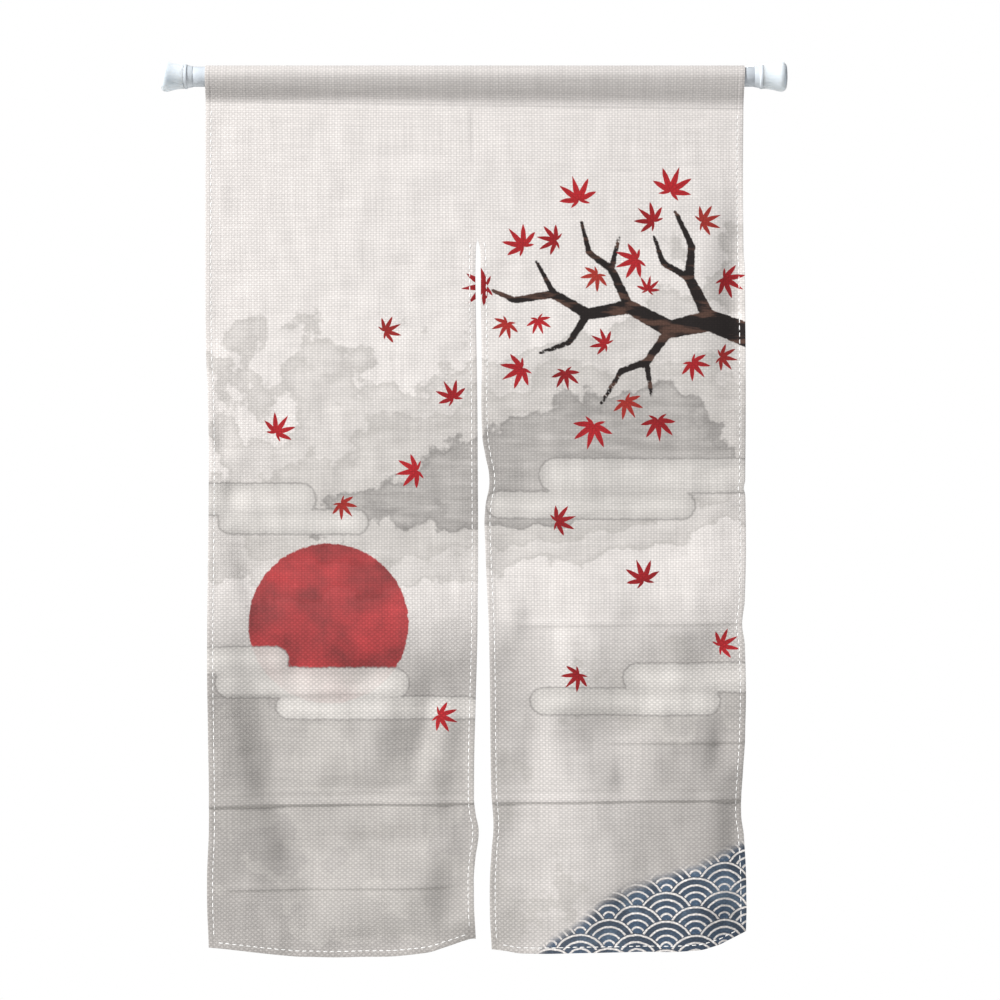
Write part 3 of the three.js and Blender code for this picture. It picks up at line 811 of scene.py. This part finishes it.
        red = add(tree, "Mix", two_reds, **COLOUR_MIX)
        warmer = add(tree, "MapRange", {0: shade, 1: 0.6, 2: 0.9, 3: 0.0, 4: 0.55})
        red = add(tree, "Mix", {0: warmer, MIX_A: red, MIX_B: linear(INK["orange_red"])}, **COLOUR_MIX)
        rib = add(tree, "Math", {0: turn, 1: LOBE_HALF_ANGLE}, operation="PINGPONG")
        rib = add(tree, "Math", {0: rib, 1: away}, operation="MULTIPLY")
        rib = add(tree, "MapRange", {0: rib, 1: 0.006, 2: 0.022, 3: 0.35, 4: 0.0})
        red = add(tree, "Mix", {0: rib, MIX_A: red, MIX_B: linear(INK["deep_red"])}, **COLOUR_MIX)
        cover = add(tree, "MapRange", {0: edge, 1: -0.025, 2: 0.025, 3: 1.0, 4: 0.0}, **SOFT)
        colour = add(tree, "Mix", {0: cover, MIX_A: colour, MIX_B: red}, **COLOUR_MIX)
    return colour


def linen_material(name, ground, strength):
    """Woven cloth with the print at that strength: 1 on the face, and less where it only shows through. The
    ink's colour is darkened along slubs, and by painted shade in the gaps between yarns, over the rod and on
    the hems where two layers let no light through from behind, and in a line along the pocket's seam."""
    material, tree, shader = new_material(name)
    uv = add(tree, "UVMap", uv_map="cloth")
    yarns, slubs = weave(tree, uv)
    ink = {0: strength, MIX_A: linear(ground), MIX_B: inked_print(tree, uv)}
    printed = add(tree, "Mix", ink, **COLOUR_MIX)
    # Painted shade in the gaps between yarns, and the slubs' own uneven tone.
    yarn_shade = add(tree, "MapRange", {0: yarns, 1: 0.0, 2: 1.0, 3: YARN_TONE, 4: 1.0})
    slub_shade = add(tree, "MapRange", {0: slubs, 1: 0.7, 2: 1.3, 3: 0.9, 4: 1.06})
    shade = add(tree, "Math", {0: yarn_shade, 1: slub_shade}, operation="MULTIPLY")
    # Painted shade where two layers of cloth let no light through from behind: over the rod pocket, and a
    # little on the hems; then a painted shade line along the pocket's seam.
    no_backlight_shade = add(tree, "Attribute", output=2, attribute_name="no_backlight_shade")
    painted_shade_tone = add(tree, "MapRange", {0: no_backlight_shade, 1: 0.0, 2: 1.0, 3: 1.0, 4: NO_BACKLIGHT_SHADE_TONE})
    below_seam = add(tree, "Attribute", output=2, attribute_name="below_seam")
    to_seam = add(tree, "Math", {0: below_seam}, operation="ABSOLUTE")
    seam_shade_ramp = {0: to_seam, 1: SEAM_SHADE_WIDTHS[0], 2: SEAM_SHADE_WIDTHS[1], 3: SEAM_SHADE_TONE, 4: 1.0}
    seam_shade = add(tree, "MapRange", seam_shade_ramp)
    painted_shade_tone = add(tree, "Math", {0: painted_shade_tone, 1: seam_shade}, operation="MULTIPLY")
    shade = add(tree, "Math", {0: shade, 1: painted_shade_tone}, operation="MULTIPLY")
    shaded = add(tree, "VectorMath", {0: printed, "Scale": shade}, operation="SCALE")
    tree.links.new(shaded, shader.inputs["Base Color"])
    height = add(tree, "Math", {0: slubs, 1: 0.5, 2: yarns}, operation="MULTIPLY_ADD")
    bump = add(tree, "Bump", {"Height": height, "Strength": 0.3, "Distance": WEAVE_BUMP})
    tree.links.new(bump, shader.inputs["Normal"])
    shader.inputs["Roughness"].default_value = 0.9
    shader.inputs["Specular IOR Level"].default_value = 0.25
    shader.inputs["Sheen Weight"].default_value = 0.15
    shader.inputs["Sheen Roughness"].default_value = 0.5
    return material


linen_face = linen_material("printed_linen_face", INK["cloth"], 1.0)
linen_back = linen_material("printed_linen_back", INK["cloth_back"], PRINT_THROUGH)


def grid_faces(rows, columns):
    """Quads of a grid, each from its upper left corner down, right and up again."""
    corner = np.arange(rows * columns).reshape(rows, columns)
    loop = (corner[:-1, :-1], corner[1:, :-1], corner[1:, 1:], corner[:-1, 1:])
    return np.stack(loop, axis=-1).reshape(-1, 4)


def cloth_piece(name, face, back, uv, fields):
    """A closed sheet from two grids of points in millimetres: the face's quads, the back's turned round,
    and a rim of quads that joins the two borders."""
    rows, columns = face.shape[:2]
    count = rows * columns
    quads = grid_faces(rows, columns)
    corner = np.arange(count).reshape(rows, columns)
    border = np.concatenate([corner[0, :-1], corner[:-1, -1], corner[-1, :0:-1], corner[:0:-1, 0]])
    onward = np.roll(border, -1)
    rim = np.stack([border, onward, onward + count, border + count], axis=-1)
    faces = np.concatenate([quads, quads[:, ::-1] + count, rim])
    points = np.concatenate([face.reshape(-1, 3), back.reshape(-1, 3)]) / 1000 + (CLOTH_LEFT / 1000, 0, 0)
    mesh = bpy.data.meshes.new(name)
    mesh.from_pydata(points.tolist(), [], faces.tolist())
    corner_uv = np.tile(uv.reshape(-1, 2), (2, 1))[faces.ravel()]
    mesh.uv_layers.new(name="cloth").data.foreach_set("uv", corner_uv.ravel())
    mesh.materials.append(linen_face)
    mesh.materials.append(linen_back)
    sides = np.repeat([0, 1, 1], [len(quads), len(quads), len(rim)])
    mesh.polygons.foreach_set("material_index", sides)
    for field, values in fields.items():
        kind, key, size = ("FLOAT_VECTOR", "vector", 3) if values.ndim == 3 else ("FLOAT", "value", 1)
        both = np.tile(values.reshape(-1, size), (2, 1)).ravel().astype(np.float32)
        mesh.attributes.new(field, kind, "POINT").data.foreach_set(key, both)
    mesh.shade_smooth()
    mesh.set_sharp_from_angle(angle=SHARP_ANGLE)
    piece = bpy.data.objects.new(name, mesh)
    scene.collection.objects.link(piece)
    return piece


# Finished panels
# Each panel's hems are sewn down by white polyester thread in long running stitches: along its outer hem
# below the pocket, its slit hem and its bottom hem. Every stitch is pulled into the cloth at its ends.

STITCH_LENGTH = 8
STITCH_PITCH = 11.2
STITCH_WIDTH = 1.6
STITCH_HEIGHT = 0.8
STITCH_LIFT = 0.15  # of its height
STITCH_TIP = 0.995  # of half its length, because at 1 its section would be a point
STITCH_STATIONS = 6
STITCH_SIDES = 6
STITCH_DIMPLE = 0.25
STITCH_DIMPLE_REACH = 1.3
OUTER_STITCHES_START = POCKET_DEPTH_RIGHT + 4
SLIT_STITCHES_START = SLIT_TOP + 6
THREAD_TWIST = 2.5  # between two turns of the strands, about three times as coarse as real so that it shows

# Spun polyester, twisted from two strands: whiter than the linen, soft, and ribbed aslant.
thread, tree, shader = new_material("white_sewing_thread")
place = add(tree, "TexCoord", output=3)
spiral = {"Vector": place, "Scale": 1000 / THREAD_TWIST, "Distortion": 0.5}
twist = add(tree, "TexWave", spiral, output=1, bands_direction="DIAGONAL")
# The darker white in the grooves of the twist is painted shade.
two_whites = {0: twist, MIX_A: linear("#E9E7E4"), MIX_B: linear("#FCFBFA")}
tree.links.new(add(tree, "Mix", two_whites, **COLOUR_MIX), shader.inputs["Base Color"])
strands = {"Height": twist, "Strength": 0.4, "Distance": 0.0002}
tree.links.new(add(tree, "Bump", strands), shader.inputs["Normal"])
shader.inputs["Roughness"].default_value = 0.6
shader.inputs["Sheen Weight"].default_value = 0.1


def stitch_run(line, normals):
    """Points, quads and end faces of the stitches along a line. With t from -1 to 1 along it, a stitch's
    section is an ellipse of STITCH_WIDTH by STITCH_HEIGHT, lifted by STITCH_LIFT of its height, and all of
    that times (1 - t^4)^0.5, so that its ends sink into the cloth."""
    length = np.r_[0, np.linalg.norm(np.diff(line, axis=0), axis=1).cumsum()]
    count = int((length[-1] - STITCH_LENGTH) // STITCH_PITCH)
    start = (length[-1] - count * STITCH_PITCH) / 2
    t = np.linspace(-STITCH_TIP, STITCH_TIP, STITCH_STATIONS)
    at = start + STITCH_PITCH * np.arange(count)[:, None] + STITCH_PITCH / 2 + t * STITCH_LENGTH / 2
    place, up, way = (
        np.stack([np.interp(at, length, source[:, axis]) for axis in range(3)], axis=-1)
        for source in (line, normals, np.gradient(line, length, axis=0))
    )
    side = np.cross(way, up)
    side /= np.linalg.norm(side, axis=-1, keepdims=True)
    swell = np.sqrt(1 - t**4)[None, :, None, None]
    turn = np.linspace(0, 2 * np.pi, STITCH_SIDES + 1)[:-1][None, None, :, None]
    ring = place[:, :, None] + swell * (
        side[:, :, None] * np.cos(turn) * STITCH_WIDTH / 2
        + up[:, :, None] * (np.sin(turn) * STITCH_HEIGHT / 2 + STITCH_HEIGHT * STITCH_LIFT)
    )
    corner = np.arange(STITCH_STATIONS * STITCH_SIDES).reshape(STITCH_STATIONS, STITCH_SIDES)
    onward = np.roll(corner, -1, axis=1)
    body = np.stack([corner[:-1], onward[:-1], onward[1:], corner[1:]], axis=-1).reshape(-1, 4)
    first = corner.size * np.arange(count)[:, None, None]
    ends = np.stack([corner[0, ::-1], corner[-1]]) + first
    quads = (body + first).reshape(-1, 4)
    return ring.reshape(-1, 3), quads.tolist(), ends.reshape(-1, STITCH_SIDES).tolist()


def stitching_piece(name, runs):
    """One mesh of all the stitches of a panel, from what stitch_run returns for each line."""
    points, faces = [], []
    for run_points, quads, ends in runs:
        first = sum(len(p) for p in points)
        points.append(run_points)
        faces += [[corner + first for corner in face] for face in quads + ends]
    places = np.concatenate(points) / 1000 + (CLOTH_LEFT / 1000, 0, 0)
    mesh = bpy.data.meshes.new(name)
    mesh.from_pydata(places.tolist(), [], faces)
    mesh.materials.append(thread)
    mesh.shade_smooth()
    piece = bpy.data.objects.new(name, mesh)
    scene.collection.objects.link(piece)
    return piece


for name, panel in PANELS.items():
    middle, to_side, to_hem, below_seam = panel_surface(panel)
    normals = unit_normals(middle)
    across = middle[..., 0]

    # Face and back lie half the cloth's thickness from the middle surface, times the root of the distance to
    # the edge over RIM_ROUNDING, plus the hem's layers, less the dimple where its stitches pull.
    to_edge = np.minimum(to_side, to_hem)
    hemmed = 1 - ease(to_edge, HEM_WIDTH - HEM_END, HEM_WIDTH + HEM_END)
    thinned = np.sqrt(np.clip(to_edge / RIM_ROUNDING, RIM_THINNEST, 1))
    to_stitches = np.minimum(abs(to_side - STITCH_INSET), abs(to_hem - STITCH_INSET))
    dimple = STITCH_DIMPLE * np.exp(-((to_stitches / STITCH_DIMPLE_REACH) ** 2))
    half = (CLOTH_THICKNESS / 2 * thinned)[..., None]
    face = middle + normals * (half + (HEM_BULGE * hemmed * thinned - dimple)[..., None])
    back = middle - normals * (half + (HEM_EXTRA * hemmed * thinned - dimple)[..., None])

    # Cloth coordinates: the way along the cloth, counted from its highest row.
    steps = np.linalg.norm(np.diff(middle, axis=0), axis=-1)
    down = np.cumsum(np.r_[np.zeros((1, across.shape[1])), steps], axis=0)
    down = down - down[middle[..., 2].argmax(axis=0), np.arange(across.shape[1])]
    uv = np.stack([across, down], axis=-1) / 1000
    fields = print_fields(across, down)
    # Painted shade over the rod pocket, fading out just below its seam, and a little on the hems, where more
    # layers let less light through from behind.
    soft_left, soft_right = POCKET_SHADE_SOFT
    soft = soft_left + (soft_right - soft_left) * ease(across, *POCKET_SHADE_PLACES)
    shade = 1 - ease(below_seam, -soft, POCKET_SHADE_END)
    fields["no_backlight_shade"] = np.maximum(shade, HEM_SHADE * hemmed)
    fields["below_seam"] = below_seam
    piece = cloth_piece(name + "_cloth", face, back, uv, fields)

    side_lines = [EDGE_OFFSETS.index(STITCH_INSET), -1 - EDGE_OFFSETS.index(STITCH_INSET)]
    hem_line = -1 - EDGE_OFFSETS.index(STITCH_INSET)
    slit_line = side_lines[0] if name == "right_panel" else side_lines[1]
    runs = []
    for surface, outward in ((face, 1), (back, -1)):
        for column in side_lines:
            start = SLIT_STITCHES_START if column == slit_line else OUTER_STITCHES_START
            hanging = (below_seam[:, column] > 0) & (down[:, column] > start)
            rows = slice(int(hanging.argmax()), hem_line)
            runs.append(stitch_run(surface[rows, column], outward * normals[rows, column]))
        columns = slice(side_lines[0], side_lines[1] + 1)
        runs.append(stitch_run(surface[hem_line, columns], outward * normals[hem_line, columns]))
    stitches = stitching_piece(name + "_stitching", runs)
    for part in (piece, stitches):
        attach(part, "root")
    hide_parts(name)

# Tension rod
# A steel tube in white enamel, a hard collar with a raised ring pushed on each end of it, and a flared foot
# of softer plastic that sits in its bore and presses on the jamb. Collar and foot are moulded, and the
# foot's waist has faint ribs.

ROD_LENGTH = 1000
SIDES = 96
TUBE_RADIUS = 16
TUBE_BORE = 14.6
TUBE_EDGE = 0.2  # broken off its outer corners
FOOT_LENGTH = 38
FIT_GAP = 0.3
RIBS = 24
RIB_HEIGHT = 0.22
RIBS_START = (10, 15)  # from the face: where the ribs rise, and where they fade
RIBS_END = (30, 36)
MERGE = 1e-6  # metres between points that are one
TONE_SIZE = 45  # over which a white finish changes its tone
BUMP_DEPTH = 0.0001  # of a finish's texture, in metres

FOOT = [  # distance from the foot's face, radius
    (0, 0), (0, 8), (0, 14), (0.3, 17), (1.6, 20.4), (4.2, 22.9), (8.5, 24), (11.5, 23.7), (15, 22.7),
    (20, 21.3), (27, 20), (33, 19.3), (36.8, 19.1), (37.7, 19), (FOOT_LENGTH, 18.6),
    (FOOT_LENGTH, TUBE_BORE - FIT_GAP), (58, TUBE_BORE - FIT_GAP), (60, 13.2), (60, 0),
]
COLLAR_START = FOOT_LENGTH + FIT_GAP
COLLAR = [
    (COLLAR_START, TUBE_RADIUS + FIT_GAP), (COLLAR_START, 18.4), (COLLAR_START, 19.2),
    (COLLAR_START + 0.5, 19.5), (COLLAR_START + 2.3, 19.6), (COLLAR_START + 4.2, 19.4),
    (COLLAR_START + 5, 18.5), (COLLAR_START + 5.8, 18), (COLLAR_START + 8.5, 17.5),
    (COLLAR_START + 12.8, 16.7), (COLLAR_START + 13.4, 16.5), (COLLAR_START + 13.5, 16.4),
    (COLLAR_START + 13.5, TUBE_RADIUS + FIT_GAP), (COLLAR_START + 6, TUBE_RADIUS + FIT_GAP),
]
TUBE_END = ROD_LENGTH - COLLAR_START
TUBE = [
    (COLLAR_START, TUBE_BORE), (COLLAR_START, TUBE_RADIUS - TUBE_EDGE),
    (COLLAR_START + TUBE_EDGE, TUBE_RADIUS), (ROD_LENGTH / 2, TUBE_RADIUS),
    (TUBE_END - TUBE_EDGE, TUBE_RADIUS), (TUBE_END, TUBE_RADIUS - TUBE_EDGE), (TUBE_END, TUBE_BORE),
]


def smooth_material(name, code, darker, roughness, grain, bump):
    """An opaque finish whose tone changes slowly between two colours, and whose roughness and bump follow a
    noise of that grain in millimetres."""
    material, tree, shader = new_material(name)
    place = add(tree, "TexCoord", output=3)
    slow = add(tree, "TexNoise", {"Vector": place, "Scale": 1000 / TONE_SIZE, "Detail": 3.0})
    fine = add(tree, "TexNoise", {"Vector": place, "Scale": 1000 / grain, "Detail": 2.0})
    tone = add(tree, "MapRange", {0: slow, 1: 0.35, 2: 0.7})
    two_tones = {0: tone, MIX_A: linear(code), MIX_B: linear(darker)}
    tree.links.new(add(tree, "Mix", two_tones, **COLOUR_MIX), shader.inputs["Base Color"])
    spread = {0: fine, 1: 0.3, 2: 0.7, 3: roughness - 0.05, 4: roughness + 0.06}
    tree.links.new(add(tree, "MapRange", spread), shader.inputs["Roughness"])
    texture = {"Height": fine, "Strength": bump, "Distance": BUMP_DEPTH}
    tree.links.new(add(tree, "Bump", texture), shader.inputs["Normal"])
    return material, shader


def rounded(profile, closed, passes=2):
    """Replaces each side from a to b by the points 3/4 a + 1/4 b and 1/4 a + 3/4 b, that many times. An open
    profile keeps its ends."""
    points = np.array(profile, float)
    for _ in range(passes):
        onward = np.roll(points, -1, axis=0) if closed else points[1:]
        here = points if closed else points[:-1]
        cut = np.stack([0.75 * here + 0.25 * onward, 0.25 * here + 0.75 * onward], axis=1).reshape(-1, 2)
        points = cut if closed else np.vstack([points[:1], cut[1:-1], points[-1:]])
    return np.vstack([points, points[:1]]) if closed else points


def turned(name, profile, material, node, from_right=False, ribbed=False):
    """A profile of (distance, radius) rows turned about the rod's axis, as (distance, radius * cos, radius
    * sin), counted from the left or the right foot's face. Ribs add RIB_HEIGHT * cos(RIBS * angle) to the
    radius along the foot's waist."""
    along, radius = profile.T
    angle = np.linspace(0, 2 * np.pi, SIDES + 1)
    waist = ease(along, *RIBS_START) * (1 - ease(along, *RIBS_END)) if ribbed else 0 * along
    spread = radius[:, None] + RIB_HEIGHT * waist[:, None] * np.cos(RIBS * angle)
    place = along[:, None] + 0 * angle
    if from_right:
        place = ROD_LENGTH - place
    points = np.stack([place, spread * np.cos(angle), spread * np.sin(angle)], axis=-1) / 1000
    mesh = bpy.data.meshes.new(name)
    mesh.from_pydata(points.reshape(-1, 3).tolist(), [], grid_faces(len(along), SIDES + 1).tolist())
    shell = bmesh.new()
    shell.from_mesh(mesh)
    bmesh.ops.remove_doubles(shell, verts=shell.verts, dist=MERGE)
    bmesh.ops.recalc_face_normals(shell, faces=shell.faces)
    shell.to_mesh(mesh)
    shell.free()
    mesh.materials.append(material)
    mesh.shade_smooth()
    piece = bpy.data.objects.new(name, mesh)
    scene.collection.objects.link(piece)
    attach(piece, "root")
    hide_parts(node)
    return piece


# Baked enamel, sprayed on steel: a cool white with a shallow sheen, and a faint orange peel.
enamel, shader = smooth_material("white_baked_enamel", "#CFD6DC", "#C8CFD6", 0.3, 1.6, 0.15)
shader.inputs["Coat Weight"].default_value = 0.2
shader.inputs["Coat Roughness"].default_value = 0.1

# ABS from a polished mould: a little whiter, with a clear highlight along the ring.
hard_plastic, shader = smooth_material("moulded_gloss_abs", "#D8DEE4", "#D2D9DF", 0.3, 0.9, 0.1)
shader.inputs["IOR"].default_value = 1.53

# Soft PVC from a matt mould: the whitest, dull, and slightly translucent, so that its shades are soft.
soft_plastic, shader = smooth_material("moulded_soft_pvc", "#E2E8EC", "#DCE3E8", 0.6, 0.7, 0.25)
shader.inputs["Specular IOR Level"].default_value = 0.25
shader.inputs["Subsurface Weight"].default_value = 1.0
shader.inputs["Subsurface Radius"].default_value = (1.0, 1.0, 1.0)
shader.inputs["Subsurface Scale"].default_value = 0.015

turned("rod_tube_enamelled", rounded(TUBE, closed=True), enamel, "rod_tube")
foot = rounded(FOOT, closed=False)
collar = rounded(COLLAR, closed=True)
for side, from_right in (("left", False), ("right", True)):
    name = f"{side}_foot"
    turned(name + "_moulded", foot, soft_plastic, name, from_right, ribbed=True)
    turned(f"{side}_collar", collar, hard_plastic, f"{side}_sleeve", from_right)
